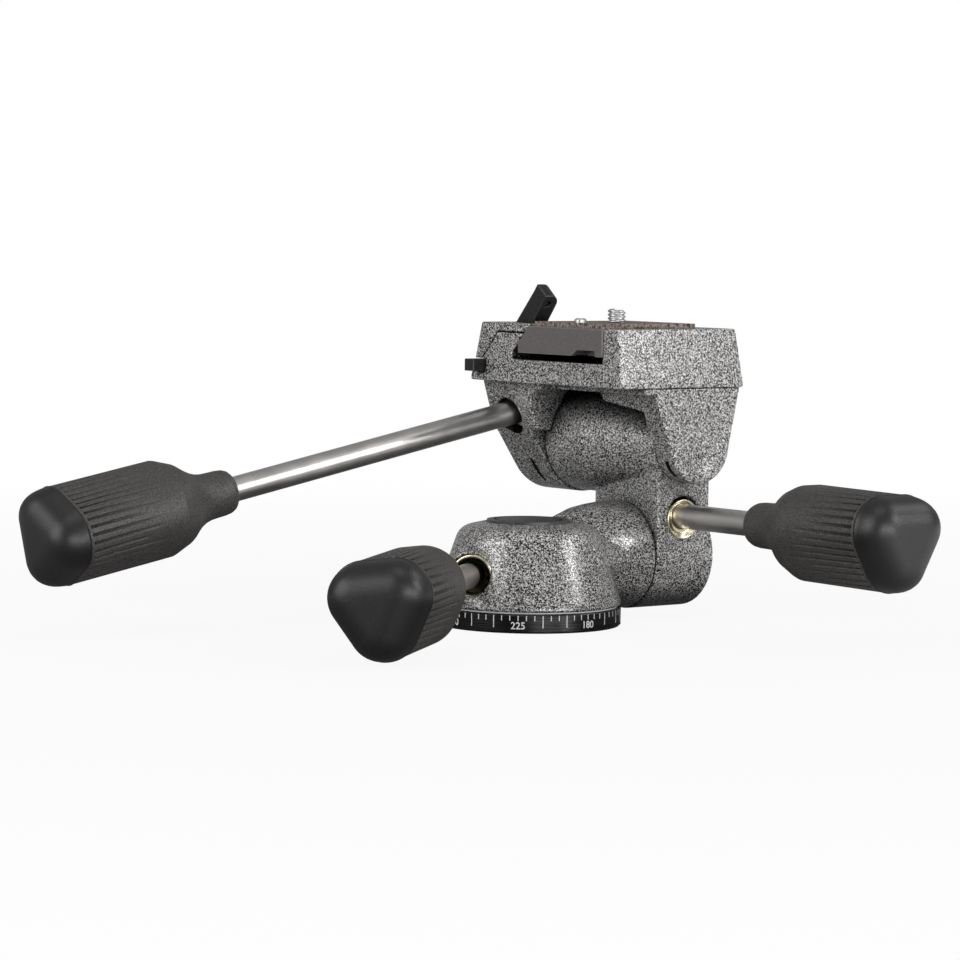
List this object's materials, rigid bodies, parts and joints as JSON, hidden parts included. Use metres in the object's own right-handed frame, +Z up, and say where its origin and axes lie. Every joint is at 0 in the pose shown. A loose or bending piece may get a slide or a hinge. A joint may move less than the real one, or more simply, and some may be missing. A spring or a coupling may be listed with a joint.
{
  "type": "pan and tilt head",
  "caption": "Pan and tilt head for a tripod: cast body, panning base with a degree scale, rod handles with rubber grips that lock each axis, and a quick-release camera platform",
  "frame": {"origin": "centre of the underside of the base ring, on the pan axis and the tripod socket", "axes": "+Z up along the pan axis, +Y the way the camera looks, +X the operator's right"},
  "size_m": [0.1921, 0.2405, 0.1151],
  "materials": {
    "casting": "hammered grey enamel",
    "black_metal": "black anodised",
    "steel": "machined",
    "rod_steel": "satin",
    "brass": "turned",
    "rubber": "fine grain",
    "cap_plastic": "satin",
    "black_plastic": "satin",
    "washer": "smooth",
    "plate_metal": "dark satin",
    "cork": "cork",
    "nickel": "bright"
  },
  "bodies": {
    "base": {"base_ring": "black_metal", "tripod_insert": "steel", "pan_post": "steel", "base_screws": "steel", "pan_washer": "washer", "pan_disc": "steel", "pan_nut": "steel"},
    "pan": {"pan_housing": "casting", "pan_cap": "black_plastic", "pan_bush": "brass", "pan_plug": "brass", "side_shaft": "steel", "side_washer": "steel", "side_screw": "steel"},
    "pan_handle": {"pan_rod": "rod_steel", "pan_grip": "rubber", "pan_grip_cap": "cap_plastic"},
    "block": {"tilt_block": "casting", "side_bush": "brass", "side_plug": "brass", "tilt_shaft": "steel"},
    "side_handle": {"side_rod": "rod_steel", "side_grip": "rubber", "side_grip_cap": "cap_plastic"},
    "platform": {"yoke": "casting", "tilt_bush": "brass", "tilt_plug": "brass", "tilt_cover": "black_plastic", "yoke_screws": "steel", "platform": "casting", "lever_pin": "steel"},
    "tilt_handle": {"tilt_rod": "rod_steel", "tilt_grip": "rubber", "tilt_grip_cap": "cap_plastic"},
    "lock_lever": {"lock_lever": "black_metal"},
    "clamp_jaw": {"clamp_jaw": "casting"},
    "safety_catch": {"safety_catch": "black_plastic"},
    "qr_plate": {"release_plate": "plate_metal", "cork_pad": "cork"},
    "camera_screw": {"camera_screw": "nickel"},
    "twist_pin": {"twist_pin": "nickel"}
  },
  "joints": [
    {"name": "pan", "type": "hinge", "parent": "base", "child": "pan", "pos_m": [0, 0, 0], "axis": [0, 0, 1], "continuous": true},
    {"name": "side_tilt", "type": "hinge", "parent": "pan", "child": "block", "pos_m": [0, 0.0532, 0.022], "axis": [0, 1, 0], "range_deg": [-30, 90]},
    {"name": "front_tilt", "type": "hinge", "parent": "block", "child": "platform", "pos_m": [0, 0.0518, 0.0608], "axis": [-1, 0, 0], "range_deg": [-30, 90]},
    {"name": "pan_lock", "type": "hinge", "parent": "pan", "child": "pan_handle", "pos_m": [-0.01024, -0.008, 0.0185], "axis": [0.6157, -0.788, 0], "range_deg": [0, 180]},
    {"name": "side_lock", "type": "hinge", "parent": "block", "child": "side_handle", "pos_m": [0, 0.0532, 0.036], "axis": [1, 0, 0], "range_deg": [0, 180]},
    {"name": "tilt_lock", "type": "hinge", "parent": "platform", "child": "tilt_handle", "pos_m": [-0.043, 0.0518, 0.0748], "axis": [0, -0.9806, -0.1959], "range_deg": [0, 180]},
    {"name": "lever_turn", "type": "hinge", "parent": "platform", "child": "lock_lever", "pos_m": [-0.0416, 0.0283, 0.096], "axis": [0, -1, 0], "range_deg": [0, 60]},
    {"name": "jaw_slide", "type": "slide", "parent": "platform", "child": "clamp_jaw", "axis": [-1, 0, 0], "range_m": [0, 0.0024]},
    {"name": "catch_push", "type": "slide", "parent": "platform", "child": "safety_catch", "axis": [0, 1, 0], "range_m": [0, 0.003], "stiffness_N_per_m": 300},
    {"name": "plate_slide", "type": "slide", "parent": "platform", "child": "qr_plate", "axis": [0, -1, 0], "range_m": [0, 0.06]},
    {"name": "screw_turn", "type": "hinge", "parent": "qr_plate", "child": "camera_screw", "pos_m": [0, 0.0374, 0.1], "axis": [0, 0, 1], "continuous": true},
    {"name": "pin_push", "type": "slide", "parent": "qr_plate", "child": "twist_pin", "axis": [0, 0, -1], "range_m": [0, 0.0015], "stiffness_N_per_m": 300}
  ],
  "couplings": [
    {"joint": "lever_turn", "follows": "jaw_slide", "rad_per_m": 436.32}
  ]
}
